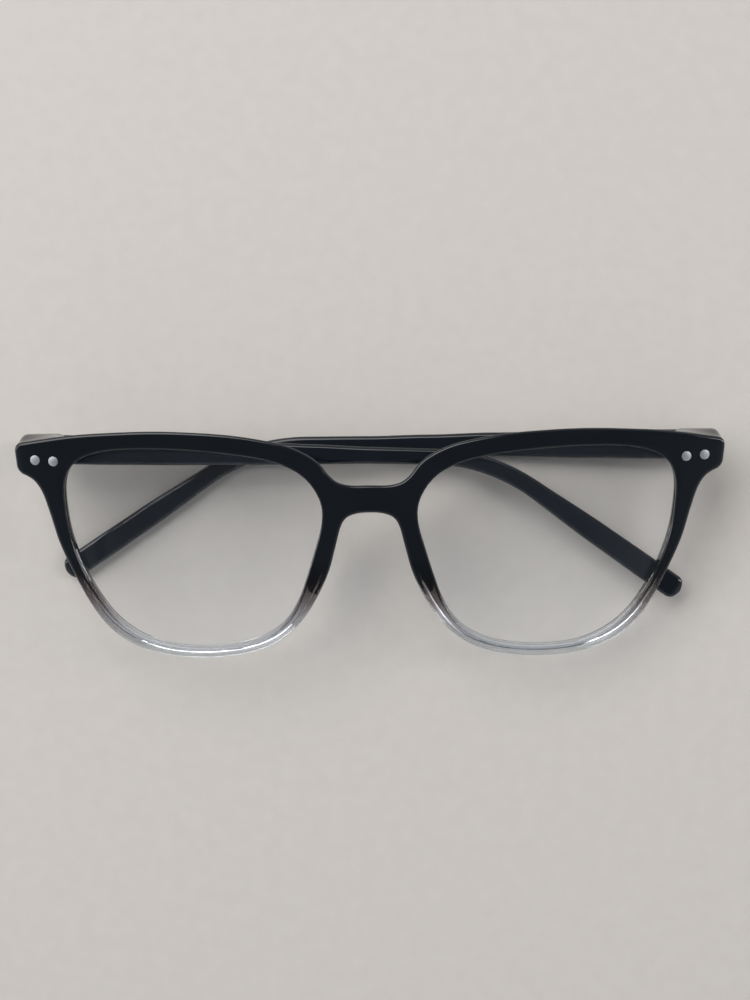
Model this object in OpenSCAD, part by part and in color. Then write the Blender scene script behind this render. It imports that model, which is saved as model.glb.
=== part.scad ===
// Full-rim reading-style spectacles with plano blue-light lenses, temples folded.
// Row frame: the folded glasses lie on a table, +Z up, front face up, +Y towards the brow.
// "Right" and "left" are the wearer's, so the right side is at -X when the front faces up.

/* [Front] */
// Width of the front over the endpieces
front_w = 142; // [138:1:146]
// Thickness of the front, face to back
front_t = 4.4; // [4.2:0.1:4.8]
// Radius of the wrap of the front about an upright axis
wrap_r = 500; // [450:10:600]
// Lean of the front against the folded temples (pantoscopic tilt)
front_tilt = 12; // [10:0.5:12]
// Height of the bridge's front face above the table, before the roll
bridge_z = 18.5; // [18.5:0.1:20]

/* [Lenses] */
// Thickness of a lens
lens_t = 1.8; // [1.6:0.1:2]
// Radius of a lens's front surface
lens_r = 200; // [180:10:240]
// Depth of the rim groove that holds the lens edge
lens_lip = 0.6; // [0.4:0.1:0.7]

/* [Temples] */
// Length of a temple along its middle, from butt to tip
temple_len = 140; // [135:1:145]
// Thickness of a temple at the hinge
temple_t = 3.9; // [3.7:0.1:4.1]
// Thickness of a temple from its waist to its tip
waist_t = 3.0; // [2.8:0.1:3.2]
// Angle of the bend over the ear
ear_bend = 34; // [25:1:40]
// Radius of that bend, at the middle of the temple
ear_r = 37; // [30:1:45]

/* [Hinges] */
// Radius of a hinge knuckle
knuckle_r = 1.3; // [1.2:0.05:1.3]
// Radius of the hinge screw's shank
screw_r = 0.7; // [0.6:0.05:0.75]
// Radial running clearance of the screw in the temple's knuckles
running_gap = 0.05; // [0.03:0.01:0.08]

/* [Studs] */
// Radius of a metal stud
stud_r = 0.97; // [0.8:0.01:1.1]

/* [Hidden] */

RIGHT = -1;
LEFT = 1;

plastic = "#15171d";
lens_tint = [0.86, 0.91, 0.97, 0.35];
pad_tint = [0.8, 0.82, 0.85, 0.6];
steel = "#b9bcc2";

// Outline of the right half of the front, from the middle of the bridge outwards.
// The points are for a 142 mm front and stretch sideways with front_w.
brow_points = [[0, 11.2], [3.6, 11.2], [6.2, 11.8], [8, 13.2], [9.8, 15.5], [12, 17.2],
               [15.5, 18.9], [19.5, 20], [26, 21.1], [33, 21.7], [42, 22], [51, 21.7],
               [60, 21], [71, 19.3]];
rim_points = [[0, 5.7], [2.6, 5.5], [4.7, 4.6], [5.9, 2.6], [6.9, -1.2], [8.2, -6],
              [10, -10.2], [12.4, -14.5], [15.7, -18.5], [20, -21.6], [26, -23.6],
              [34, -24.4], [42, -23.8], [48.6, -21.6], [53.6, -17.8], [57.2, -12.6],
              [60.3, -6.4], [62.7, -0.6], [64.3, 5.2], [65.6, 9.3], [67, 11.6],
              [68.7, 12.8], [70.5, 13.4]];
opening_points = [[9.5, 4.6], [9.7, 7.4], [10.9, 10.2], [13, 12.8], [15.9, 14.7],
                  [20, 16.2], [26, 17.3], [35, 18.2], [44, 18.5], [51, 18.2],
                  [56, 17.1], [59.3, 15], [60.9, 11.8], [61.1, 7.4], [60.2, 0.6],
                  [57.9, -6.4], [54.9, -12], [51.4, -16.6], [47, -19.9], [41.4, -22],
                  [34, -22.6], [26.4, -21.8], [20.9, -19.8], [17, -16.6], [14.5, -12.4],
                  [12.7, -7.4], [11.1, -2.2], [10, 1.6]];
curve_steps = 3;
// Flat outlines are extruded from outline_low, past the front's face and back
outline_low = -20;
outline_h = 30;
// Height of the upright cylinders that wrap the front
wrap_h = 80;

half_w = front_w / 2;
side_stretch = half_w / 71;
lens_centre = [35.3 * side_stretch, -2];
seat_gap = 0.05;

// Hinge: the pin's axis lies pin_gap inside the temple's inner face, near the table.
pin_gap = 1.4;
temple_overhang = 2.5;
butt_gap = 0.12;
hinge_x = half_w - pin_gap - temple_t;
hinge_y = 19.25;
outer_face = pin_gap + temple_t;
// The left temple folds last and lies flat on the table, which rolls the front by roll.
roll = 2.4;
right_rise = 1.0;
pin_z = (outer_face + hinge_x * sin(roll)) / cos(roll);
butt_z = pin_z + temple_overhang + butt_gap;
// Turn of each hinge axis about the front's normal, and fall of each folded temple
function axis_turn(side) = side == LEFT ? -0.5 : -1.6;
function fold_fall(side) = side == LEFT ? roll : -right_rise;

knuckle_w = 1;
knuckle_count = 5;
knuckle_gap = 0.04;
barrel_w = knuckle_w * knuckle_count;
leaf_t = 0.8;
leaf_h = 4.6;
leaf_inset = 0.4;
leaf_overlap = 1;
socket_lip = 0.2;
front_leaf_x = [-3.4, 1.6];
lug_r = 0.7;
lug_depth = 2.2;
temple_leaf_end = 8;
socket_end = 9.5;
socket_h = 2.2;
screw_head_r = 1.1;
screw_head_t = 0.6;
slot_w = 0.3;
thread_gap = 0.02;

// Endpiece: the block behind the plate that meets the temple's butt
endpiece_in = 62;
endpiece_h = 6.2;
endpiece_lean = 18;
endpiece_up = 4.2;
endpiece_down = 5;
// Side of the blocks that only cut away
spare = 40;

// Temple: height at each place along its middle line, measured from the pin
temple_heights = [[-2.5, 6], [8, 6], [20, 5.7], [40, 4.9], [54, 4.1], [66, 3.5], [82, 3.3],
                  [98, 3.6], [118, 4.7], [128, 4.9], [150, 4.8]];
bend_start = 79;
taper_start = 9;
taper_end = 60;
tip_round = 2.2;
wire_w = 1.4;
wire_t = 1;
wire_depth = 1.1;
wire_tail = 12;
blank_h = 10;
blank_end = 5;

// Stud centres on the endpiece: distance from the middle, and height
outer_stud = [66.7, 16.1];
inner_stud = [63, 15.9];
stud_depth = 2;
stud_proud = 0.12;

// Nose pad: middle of its foot and of its crown, behind the rim
pad_foot = [10.4, -6.4];
pad_crown = [10.7, -6.8];
pad_r = [1.5, 5.2, 1.6];
// Slant of the pad's long side, along the rim beside the nose
pad_slant = 19;
pad_depth = 4.6;
pad_sink = 0.5;

// Shift that puts the origin under the middle of the whole object
centre_shift = [-0.55, 0.4, 0];

// ---- curves -------------------------------------------------------------

function spline_at(a, b, c, d, t) =
    0.5 * ((2 * b) + (c - a) * t + (2 * a - 5 * b + 4 * c - d) * t * t
           + (3 * b - a - 3 * c + d) * t * t * t);

// Smooth curve through points p, open
function open_curve(p, n) =
    let (last = len(p) - 1)
    concat([for (i = [0:last - 1], k = [0:n - 1])
                spline_at(p[max(i - 1, 0)], p[i], p[i + 1], p[min(i + 2, last)], k / n)],
           [p[last]]);

// Smooth curve through points p, closed
function closed_curve(p, n) =
    let (m = len(p))
    [for (i = [0:m - 1], k = [0:n - 1])
        spline_at(p[(i + m - 1) % m], p[i], p[(i + 1) % m], p[(i + 2) % m], k / n)];

// Points p and their mirror images, in order from -X to +X; p starts on the middle
function both_sides(p) =
    concat([for (i = [len(p) - 1:-1:1]) [-p[i][0], p[i][1]]], p);

function reversed(p) = [for (i = [len(p) - 1:-1:0]) p[i]];

function stretched(p) = [for (q = p) [q[0] * side_stretch, q[1]]];

// Closed outline p moved outwards by d; p runs clockwise
function grown(p, d) =
    let (m = len(p))
    [for (i = [0:m - 1])
        let (v = p[(i + 1) % m] - p[(i + m - 1) % m])
        p[i] + d * [-v[1], v[0]] / norm(v)];

// Value at x of the curve through the pairs in table, smooth between its steps
function looked_up(x, table) =
    let (i = max([for (k = [0:len(table) - 2]) table[k][0] <= x ? k : 0]),
         t = (x - table[i][0]) / (table[i + 1][0] - table[i][0]))
    table[i][1] + (table[i + 1][1] - table[i][1]) * (3 - 2 * t) * t * t;

front_outline = concat(open_curve(both_sides(stretched(brow_points)), curve_steps),
                       reversed(open_curve(both_sides(stretched(rim_points)), curve_steps)));
opening_outline = closed_curve(stretched(opening_points), curve_steps);

// ---- places -------------------------------------------------------------

// The whole object: rolled onto the left temple and centred
module placed() {
    translate(centre_shift) rotate([0, roll, 0]) children();
}

// The front's own frame: x to the wearer's left, y up the front, z out of its face
module on_front() {
    translate([0, 0, bridge_z]) rotate([front_tilt, 0, 0]) children();
}

// A place on the wrapped front face, with z along the face's normal
module on_wrap(x, y) {
    translate([0, 0, -wrap_r]) rotate([0, asin(x / wrap_r), 0])
        translate([0, y, wrap_r]) children();
}

// A hinge's frame: x outwards, y up the pin, z towards the front
module at_hinge(side) {
    translate([side * hinge_x, hinge_y, pin_z]) rotate([0, 0, axis_turn(side)])
        mirror([side == RIGHT ? 1 : 0, 0, 0]) children();
}

// A folded temple's frame: x along the temple, y up, z outwards from the pin
module on_temple(side) {
    at_hinge(side) rotate([0, 180 - fold_fall(side), 0]) children();
}

module mirrored_for(side) {
    mirror([side == RIGHT ? 1 : 0, 0, 0]) children();
}

// ---- front --------------------------------------------------------------

// Everything nearer the wearer than the given depth below the wrapped face
module behind_face(depth) {
    translate([0, -wrap_h / 2, -wrap_r]) rotate([-90, 0, 0])
        cylinder(h = wrap_h, r = wrap_r - depth, $fn = 720);
}

// An outline extruded right through the front
module flat_outline(outline) {
    translate([0, 0, outline_low]) linear_extrude(outline_h) polygon(outline);
}

module front_plate() {
    difference() {
        intersection() {
            flat_outline(front_outline);
            behind_face(0);
        }
        behind_face(front_t);
    }
}

module endpiece(side) {
    width = half_w - endpiece_in * side_stretch;
    difference() {
        translate([side * (half_w - width / 2), hinge_y, butt_z])
            rotate([endpiece_lean, 0, axis_turn(side)])
                translate([-width / 2, -endpiece_h / 2, -endpiece_down])
                    cube([width, endpiece_h, endpiece_down + endpiece_up]);
        translate([side * half_w - spare / 2, hinge_y - spare / 2, butt_z - spare]) cube(spare);
    }
}

module lens_opening(side) {
    mirrored_for(side) flat_outline(opening_outline);
}

// The lens's shape, or with a gap the seat that is cut for it
module lens_solid(side, gap) {
    edge = grown(opening_outline, lens_lip + gap);
    mirrored_for(side) intersection() {
        flat_outline(edge);
        on_wrap(lens_centre[0], lens_centre[1]) translate([0, 0, -lens_r]) difference() {
            sphere(r = lens_r + gap, $fn = 360);
            sphere(r = lens_r - lens_t - gap, $fn = 360);
        }
    }
}

module stud_solid(side, place, proud) {
    on_wrap(side * place[0] * side_stretch, place[1]) translate([0, 0, -stud_depth])
        cylinder(h = stud_depth + proud, r = stud_r, $fn = 48);
}

module front_frame() {
    color(plastic) placed() difference() {
        union() {
            on_front() difference() {
                front_plate();
                for (side = [RIGHT, LEFT]) lens_opening(side);
            }
            for (side = [RIGHT, LEFT]) endpiece(side);
        }
        for (side = [RIGHT, LEFT]) {
            on_front() lens_solid(side, seat_gap);
            on_front() stud_solid(side, outer_stud, stud_depth);
            on_front() stud_solid(side, inner_stud, stud_depth);
            at_hinge(side) front_leaf_plate();
        }
    }
}

module lens(side) {
    color(lens_tint) placed() on_front() lens_solid(side, 0);
}

module stud(side, place) {
    color(steel) placed() on_front() stud_solid(side, place, stud_proud);
}

module nose_pad(side) {
    color(pad_tint) placed() on_front() mirrored_for(side) intersection() {
        hull() {
            translate([pad_foot[0], pad_foot[1], -front_t + pad_sink])
                rotate(pad_slant) scale(pad_r) sphere(r = 1, $fn = 28);
            translate([pad_crown[0], pad_crown[1], -front_t - pad_depth + pad_r[2]])
                rotate(pad_slant) scale(pad_r) sphere(r = 1, $fn = 28);
        }
        behind_face(front_t);
    }
}

// ---- hinges -------------------------------------------------------------

// One knuckle of the barrel, counted from the lower end, with its web down to a leaf
module knuckle(i, web, bore_r) {
    y = -barrel_w / 2 + i * knuckle_w;
    difference() {
        translate([0, y + knuckle_gap / 2, 0]) union() {
            rotate([-90, 0, 0]) cylinder(h = knuckle_w - knuckle_gap, r = knuckle_r, $fn = 48);
            translate([-knuckle_r, 0, 0]) cube([2 * knuckle_r, knuckle_w - knuckle_gap, web]);
        }
        translate([0, y - knuckle_w, 0]) rotate([-90, 0, 0])
            cylinder(h = 3 * knuckle_w, r = bore_r, $fn = 48);
    }
}

module front_leaf_plate() {
    z = temple_overhang + butt_gap;
    translate([front_leaf_x[0], -leaf_h / 2, z])
        cube([front_leaf_x[1] - front_leaf_x[0], leaf_h, leaf_t]);
    translate([(front_leaf_x[0] + front_leaf_x[1]) / 2, 0, z + leaf_t])
        cylinder(h = lug_depth - leaf_t, r = lug_r, $fn = 32);
}

module front_hinge_leaf(side) {
    color(steel) placed() at_hinge(side) {
        front_leaf_plate();
        for (i = [0:2:knuckle_count - 1])
            knuckle(i, temple_overhang + butt_gap,
                    screw_r + (i == 0 ? thread_gap : running_gap));
    }
}

// Plate and wire socket, in the temple's frame
module temple_leaf_plate() {
    plate_start = leaf_inset - temple_overhang;
    socket_start = temple_leaf_end - leaf_overlap;
    translate([plate_start, -leaf_h / 2, pin_gap])
        cube([temple_leaf_end - plate_start, leaf_h, leaf_t]);
    translate([socket_start, -socket_h / 2, pin_gap])
        cube([socket_end - socket_start, socket_h, temple_t - wire_depth + socket_lip]);
}

module temple_hinge_leaf(side) {
    color(steel) placed() on_temple(side) {
        temple_leaf_plate();
        for (i = [1:2:knuckle_count - 1])
            knuckle(i, pin_gap, screw_r + running_gap);
    }
}

module hinge_screw(side) {
    top = barrel_w / 2;
    slot_len = 2 * screw_head_r + screw_head_t;
    color(steel) placed() at_hinge(side) difference() {
        union() {
            translate([0, -top, 0]) rotate([-90, 0, 0])
                cylinder(h = barrel_w, r = screw_r, $fn = 48);
            translate([0, top, 0]) rotate([-90, 0, 0])
                cylinder(h = screw_head_t, r = screw_head_r, $fn = 48);
        }
        translate([-slot_len / 2, top + screw_head_t / 2, -slot_w / 2])
            cube([slot_len, screw_head_t, slot_w]);
    }
}

// ---- temples ------------------------------------------------------------

bend_len = ear_r * ear_bend * PI / 180;
tip_s = temple_len - temple_overhang;

// Point and direction of the temple's middle line at distance s from the pin
function middle(s) =
    let (a = min(max(s - bend_start, 0), bend_len) / ear_r * 180 / PI,
         rest = max(s - bend_start - bend_len, 0))
    [min(s, bend_start) + ear_r * sin(a) + rest * cos(a),
     -ear_r * (1 - cos(a)) - rest * sin(a)];

function heading(s) = min(max(s - bend_start, 0), bend_len) / ear_r * 180 / PI;

// Half the temple's height at s, rounded off at the tip
function half_height(s) =
    let (u = max(s - tip_s + tip_round, 0) / tip_round)
    looked_up(s, temple_heights) / 2 * sqrt(max(1 - pow(u, 2.6), 0));

temple_stations = concat([-temple_overhang, 2, 8, 14, 20, 27, 34, 40, 47, 54, 60, 66, 73, 79],
                         [for (k = [1:7]) bend_start + bend_len * k / 8],
                         [for (k = [0:7]) bend_start + bend_len + (tip_s - tip_round
                                          - bend_start - bend_len) * k / 8],
                         [for (k = [0:8]) tip_s - tip_round + tip_round * sin(k * 10)]);

function temple_edge(sign) =
    [for (s = temple_stations)
        middle(s) + sign * half_height(s) * [sin(heading(s)), cos(heading(s))]];

module temple_blank() {
    waist = outer_face - waist_t;
    intersection() {
        linear_extrude(blank_h)
            polygon(concat(temple_edge(1), [middle(tip_s)], reversed(temple_edge(-1))));
        rotate([90, 0, 0]) translate([0, 0, -temple_len / 2]) linear_extrude(temple_len)
            polygon([[-blank_end, pin_gap], [taper_start, pin_gap], [taper_end, waist],
                     [tip_s + blank_end, waist], [tip_s + blank_end, outer_face],
                     [-blank_end, outer_face]]);
    }
}

// Flat wire from the hinge leaf's socket, through the ear bend, into the tip
function wire_edge(sign) =
    let (end = tip_s - wire_tail, straight = (bend_start - socket_end) / 3)
    [for (s = concat([for (k = [0:3]) socket_end + straight * k],
                     [for (k = [1:8]) bend_start + bend_len * k / 8], [end]))
        middle(s) + sign * wire_w / 2 * [sin(heading(s)), cos(heading(s))]];

module flat_wire() {
    translate([0, 0, outer_face - wire_depth - wire_t]) linear_extrude(wire_t)
        polygon(concat(wire_edge(1), reversed(wire_edge(-1))));
}

module temple(side) {
    color(plastic) placed() on_temple(side) difference() {
        temple_blank();
        temple_leaf_plate();
        flat_wire();
    }
}

module core_wire(side) {
    color(steel) placed() on_temple(side) flat_wire();
}

// ---- nodes --------------------------------------------------------------

front_frame();
lens(RIGHT);  // right_lens
lens(LEFT);  // left_lens
nose_pad(RIGHT);  // right_nose_pad
nose_pad(LEFT);  // left_nose_pad
temple(RIGHT);  // right_temple
temple(LEFT);  // left_temple
core_wire(RIGHT);  // right_core_wire
core_wire(LEFT);  // left_core_wire
front_hinge_leaf(RIGHT);  // right_front_hinge_leaf
front_hinge_leaf(LEFT);  // left_front_hinge_leaf
temple_hinge_leaf(RIGHT);  // right_temple_hinge_leaf
temple_hinge_leaf(LEFT);  // left_temple_hinge_leaf
hinge_screw(RIGHT);  // right_hinge_screw
hinge_screw(LEFT);  // left_hinge_screw
stud(RIGHT, outer_stud);  // right_outer_stud
stud(RIGHT, inner_stud);  // right_inner_stud
stud(LEFT, outer_stud);  // left_outer_stud
stud(LEFT, inner_stud);  // left_inner_stud
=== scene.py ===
# %% [markdown]
# # A pair of folded spectacles
# This lesson dresses a finished construction model of plastic spectacles. The construction gives
# true sizes and hinge places. Here each plastic piece gets its rounded edges, its polish and its
# colour, and the metal pieces get their finish.

# %% Load the frame
import math

import bmesh
import bpy
import numpy as np
from mathutils import Matrix, Vector


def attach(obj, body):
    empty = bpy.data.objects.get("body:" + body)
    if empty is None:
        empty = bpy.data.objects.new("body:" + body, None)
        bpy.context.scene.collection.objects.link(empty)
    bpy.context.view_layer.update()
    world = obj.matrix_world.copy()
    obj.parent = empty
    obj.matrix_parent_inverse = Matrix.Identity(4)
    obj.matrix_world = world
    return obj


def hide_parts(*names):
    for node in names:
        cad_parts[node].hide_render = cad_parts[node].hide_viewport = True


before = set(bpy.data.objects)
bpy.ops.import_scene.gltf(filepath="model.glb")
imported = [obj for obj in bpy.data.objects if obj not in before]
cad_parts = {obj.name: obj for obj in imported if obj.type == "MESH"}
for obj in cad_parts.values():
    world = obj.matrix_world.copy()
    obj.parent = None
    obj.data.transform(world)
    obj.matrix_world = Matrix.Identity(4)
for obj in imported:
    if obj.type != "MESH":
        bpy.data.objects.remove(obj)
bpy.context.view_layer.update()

# %% [markdown]
# ## Sizes
# The same driving sizes as the construction, in millimetres. Everything is worked out in the
# front's own frame (x across, y up the front, z out of its face) and placed at the very end,
# because an outline is easiest to draw flat.

# %% Driving sizes
MM = 0.001
FRONT_T = 4.4
WRAP_R = 500.0
FRONT_TILT = math.radians(12)
ROLL = math.radians(2.4)
BRIDGE_Z = 18.5
CENTRE_SHIFT = Vector((-0.55, 0.4, 0))
LENS_R = 200.0
LENS_T = 1.8
LENS_LIP = 0.6
LENS_CENTRE = (35.3, -2.0)
HALF_W = 71.0

PIN_GAP = 1.4
TEMPLE_T = 3.9
WAIST_T = 3.0
OUTER_FACE = PIN_GAP + TEMPLE_T
OVERHANG = 2.5
BUTT_GAP = 0.12
HINGE_X = HALF_W - OUTER_FACE
HINGE_Y = 19.25
PIN_Z = (OUTER_FACE + HINGE_X * math.sin(ROLL)) / math.cos(ROLL)
BUTT_Z = PIN_Z + OVERHANG + BUTT_GAP
RIGHT, LEFT = -1, 1
AXIS_TURN = {RIGHT: math.radians(-1.6), LEFT: math.radians(-0.5)}
FOLD_FALL = {RIGHT: math.radians(-1.0), LEFT: ROLL}
SIDE_NAME = {RIGHT: "right", LEFT: "left"}
# Pieces that lie flush in plastic stand this much proud, so that they show
SHOW = 0.03
print("hinge pins", round(2 * HINGE_X, 1), "mm apart,", round(PIN_Z, 2), "mm up")

# %% [markdown]
# ## Places
# Two matrices do all the placing. The front leans on its folded temples and the whole object is
# rolled until the lower temple lies flat. Each temple hangs on its own hinge pin. Matrices are
# multiplied into the vertices, so each finished piece's object stays at the origin.

# %% Matrices
def turn(angle, axis):
    return Matrix.Rotation(angle, 4, axis)


# Edges that turn by more than this stay sharp in the shading
SHARP = math.radians(38)
PLACED = Matrix.Scale(MM, 4) @ Matrix.Translation(CENTRE_SHIFT) @ turn(ROLL, "Y")
ON_FRONT = PLACED @ Matrix.Translation((0, 0, BRIDGE_Z)) @ turn(FRONT_TILT, "X")


def at_hinge(side):
    """The hinge's frame: x outwards, y up the pin, z towards the front."""
    flip = Matrix.Scale(-1, 4, (1, 0, 0)) if side == RIGHT else Matrix.Identity(4)
    pin = Matrix.Translation((side * HINGE_X, HINGE_Y, PIN_Z))
    return PLACED @ pin @ turn(AXIS_TURN[side], "Z") @ flip


def on_temple(side):
    """The folded temple's frame: x along it, y up, z outwards from the pin."""
    return at_hinge(side) @ turn(math.pi - FOLD_FALL[side], "Y")


print("front's place:", [round(1000 * c, 2) for c in ON_FRONT.translation], "mm")

# %% [markdown]
# ## Mesh helpers
# Every plastic piece is worked out as a list of points and faces. One helper makes the object from
# them, and another closes the mesh and shades it, and counts the edges left open, which should be
# none on a solid piece.

# %% Mesh helpers
def solid(name, points, faces, place):
    """A mesh object with its place in its vertices and its faces outwards."""
    flipped = place.determinant() < 0
    mesh = bpy.data.meshes.new(name)
    mesh.from_pydata([place @ Vector(p) for p in points], [],
                     [tuple(reversed(f)) if flipped else tuple(f) for f in faces])
    mesh.validate()
    piece = bpy.data.objects.new(name, mesh)
    bpy.context.scene.collection.objects.link(piece)
    return piece


def tidy_mesh(piece, distance=1e-7):
    """Merges doubled vertices and turns every face outwards."""
    bm = bmesh.new()
    bm.from_mesh(piece.data)
    bmesh.ops.remove_doubles(bm, verts=bm.verts, dist=distance)
    bmesh.ops.recalc_face_normals(bm, faces=bm.faces)
    open_edges = sum(1 for e in bm.edges if not e.is_manifold)
    bm.to_mesh(piece.data)
    bm.free()
    piece.data.shade_smooth()
    piece.data.set_sharp_from_angle(angle=SHARP)
    print(piece.name, "faces:", len(piece.data.polygons), "open edges:", open_edges)


# %% [markdown]
# ## Camera
# The camera looks almost straight down on the folded glasses, from about thirty centimetres, as
# someone standing at the table would. A longish lens keeps the perspective gentle.

# %% Camera
CAMERA_PLACE = (0.01514, 0.00845, 0.3185)
CAMERA_LEAN = math.radians(2.65)
CAMERA_SPIN = math.radians(-0.486)
FOCAL_LENGTH = 54.48
camera = bpy.data.objects.new("camera", bpy.data.cameras.new("camera"))
camera.data.lens = FOCAL_LENGTH
camera.location = CAMERA_PLACE
camera.rotation_euler = (0, CAMERA_LEAN, CAMERA_SPIN)
bpy.context.scene.collection.objects.link(camera)
bpy.context.scene.camera = camera
print("camera", round(CAMERA_PLACE[2], 3), "m up, lens", FOCAL_LENGTH, "mm")


# %% [markdown]
# ## Shader arithmetic
# Node trees written link by link are hard to read. This small class wraps a socket, so that
# shader maths can be written as plain expressions.

# %% A number socket
class Value:
    """A number socket: + - * / on it add Math nodes."""

    def __init__(self, tree, socket):
        self.tree, self.socket = tree, socket

    def _maths(self, operation, first, second):
        return self.tree.add("ShaderNodeMath", {"operation": operation}, {0: first, 1: second})[0]

    def __add__(self, other):
        return self._maths("ADD", self, other)

    def __radd__(self, other):
        return self._maths("ADD", other, self)

    def __sub__(self, other):
        return self._maths("SUBTRACT", self, other)

    def __rsub__(self, other):
        return self._maths("SUBTRACT", other, self)

    def __mul__(self, other):
        return self._maths("MULTIPLY", self, other)

    def __rmul__(self, other):
        return self._maths("MULTIPLY", other, self)

    def __truediv__(self, other):
        return self._maths("DIVIDE", self, other)

    def clamped(self):
        node = self._maths("ADD", self, 0.0)
        node.socket.node.use_clamp = True
        return node

    def power(self, exponent):
        return self._maths("POWER", self, exponent)


# %% [markdown]
# ## Node trees
# A second class holds a whole tree. One method adds any node and links its inputs in the same
# call, and the others add the patterns that several finishes here share.

# %% A node tree
class Outputs:
    """A node's outputs, by number or name, wrapped as values."""

    def __init__(self, tree, node):
        self.tree, self.node = tree, node

    def __getitem__(self, key):
        return Value(self.tree, self.node.outputs[key])


class Graph:
    """The node tree of a material, a world or a geometry rule, and the one way to add a node."""

    def __init__(self, owner, output="ShaderNodeOutputMaterial"):
        self.owner = owner
        if hasattr(owner, "use_nodes"):
            owner.use_nodes = True
        tree = getattr(owner, "node_tree", owner)
        self.nodes, self.links = tree.nodes, tree.links
        self.nodes.clear()
        self.output = self.nodes.new(output)

    def add(self, kind, settings=None, inputs=None, stops=None):
        node = self.nodes.new(kind)
        for key, value in (settings or {}).items():
            setattr(node, key, value)
        if stops:
            ramp = node.color_ramp
            while len(ramp.elements) < len(stops):
                ramp.elements.new(0.5)
            for element, (place, colour) in zip(ramp.elements, stops):
                element.position = place
                element.color = (*colour, 1)
        for key, value in (inputs or {}).items():
            if isinstance(value, Value):
                self.links.new(value.socket, node.inputs[key])
            else:
                node.inputs[key].default_value = value
        return Outputs(self, node)

    def noise(self, scale, detail=3.0, roughness=0.5, stretch=(1, 1, 1)):
        """Noise with that many cells a metre, drawn out along an axis by stretch."""
        place = self.add("ShaderNodeTexCoord")["Object"]
        laid = self.add("ShaderNodeMapping", {}, {"Vector": place, "Scale": stretch})
        return self.add("ShaderNodeTexNoise", {}, {
            "Vector": laid[0], "Scale": scale, "Detail": detail, "Roughness": roughness})[0]

    def bump(self, height, depth, strength=1.0):
        return self.add("ShaderNodeBump", {}, {
            "Height": height, "Distance": depth, "Strength": strength})[0]

    def lamps_pass(self, glass, tint):
        """Glass that lamps and diffuse light pass straight through, with a plain tint."""
        clear = self.add("ShaderNodeBsdfTransparent", {}, {0: tint})[0]
        rays = self.add("ShaderNodeLightPath")
        for ray in ("Is Shadow Ray", "Is Diffuse Ray"):
            glass = self.add("ShaderNodeMixShader", {}, {0: rays[ray], 1: glass, 2: clear})[0]
        return glass

    def finish(self, value):
        self.links.new(value.socket, self.output.inputs[0])
        return self.owner


# %% [markdown]
# ## Light
# Glossy black plastic shows nothing but reflections, so the sky straight above is dim and the
# horizon pale. One big soft lamp makes the shadows, and two strips at the sides put bright lines
# on polished edges.

# %% World and lamps
def lamp(name, place, size, watts, aim=(0, 0, 0.01)):
    light = bpy.data.lights.new(name, "AREA")
    light.shape = "RECTANGLE"
    light.size, light.size_y = size
    light.energy = watts
    holder = bpy.data.objects.new(name, light)
    holder.location = place
    holder.rotation_euler = (Vector(place) - Vector(aim)).to_track_quat("Z", "Y").to_euler()
    bpy.context.scene.collection.objects.link(holder)


def studio_sky():
    sky = Graph(bpy.data.worlds.new("studio"), "ShaderNodeOutputWorld")
    way = sky.add("ShaderNodeSeparateXYZ", {}, {0: sky.add("ShaderNodeTexCoord")["Generated"]})
    shade = sky.add("ShaderNodeValToRGB", {}, {0: way[2].clamped()}, stops=[
        (0.0, (0.6, 0.63, 0.67)), (0.45, (0.58, 0.61, 0.65)), (0.85, (0.13, 0.14, 0.16))])
    return sky.finish(sky.add("ShaderNodeBackground", {}, {"Color": shade[0]})[0])


bpy.context.scene.world = studio_sky()
lamp("key", place=(-0.5, 0.65, 0.95), size=(1.2, 0.9), watts=12.5)
lamp("right_strip", place=(0.7, 0.1, 0.35), size=(0.12, 0.8), watts=2.2)
lamp("left_strip", place=(-0.7, 0.0, 0.3), size=(0.12, 0.8), watts=1.4)
bpy.context.scene.view_settings.view_transform = "Standard"
print("lamps:", [light.name for light in bpy.data.lights])

# %% [markdown]
# ## Table
# The glasses lie on a plain pale table top. One square is enough, big enough that the camera sees
# no edge of it. It is the stage and no part of the glasses.

# %% Table
TABLE_HALF = 1.5


def table_top():
    graph = Graph(bpy.data.materials.new("table_top"))
    fleck = graph.noise(scale=300.0, detail=2.0)
    colour = graph.add("ShaderNodeValToRGB", {}, {0: fleck}, stops=[
        (0.3, (0.56, 0.52, 0.475)), (0.7, (0.58, 0.54, 0.495))])[0]
    return graph.finish(graph.add("ShaderNodeBsdfPrincipled", {}, {
        "Base Color": colour, "Roughness": 0.7})[0])


table = solid("table", [(-TABLE_HALF, -TABLE_HALF, 0), (TABLE_HALF, -TABLE_HALF, 0),
                        (TABLE_HALF, TABLE_HALF, 0), (-TABLE_HALF, TABLE_HALF, 0)],
              [(0, 1, 2, 3)], Matrix.Identity(4))
table.data.materials.append(table_top())
print("table", 2 * TABLE_HALF, "m wide")

# %% [markdown]
# ## Front plastic
# The front is cast in one clear plastic and dyed from the top: blue-black at the brow, smoke beside
# the nose, and clear at the bottom. The part that is black right through is plain gloss plastic.
# Below it the plastic is glass-like, and its tint changes with the height up the front. A painted
# picture could do the same, but a rule from the height needs no unwrapping and has no seams.

# %% Dye
BLACK_DYE, PALE_DYE = (0.003, 0.0045, 0.0065), (0.004, 0.006, 0.0085)
PLASTIC_IOR = 1.49
# Dye of the front at heights up it, in millimetres
DYE = [(-25.0, (0.8, 0.84, 0.88)), (-19.5, (0.74, 0.77, 0.81)), (-15.5, (0.5, 0.5, 0.53)),
       (-12.5, (0.22, 0.2, 0.2)), (-9.5, (0.07, 0.06, 0.06)), (-6.5, (0.02, 0.018, 0.02)),
       (-4.0, BLACK_DYE)]
ALL_BLACK = -2.5
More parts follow.
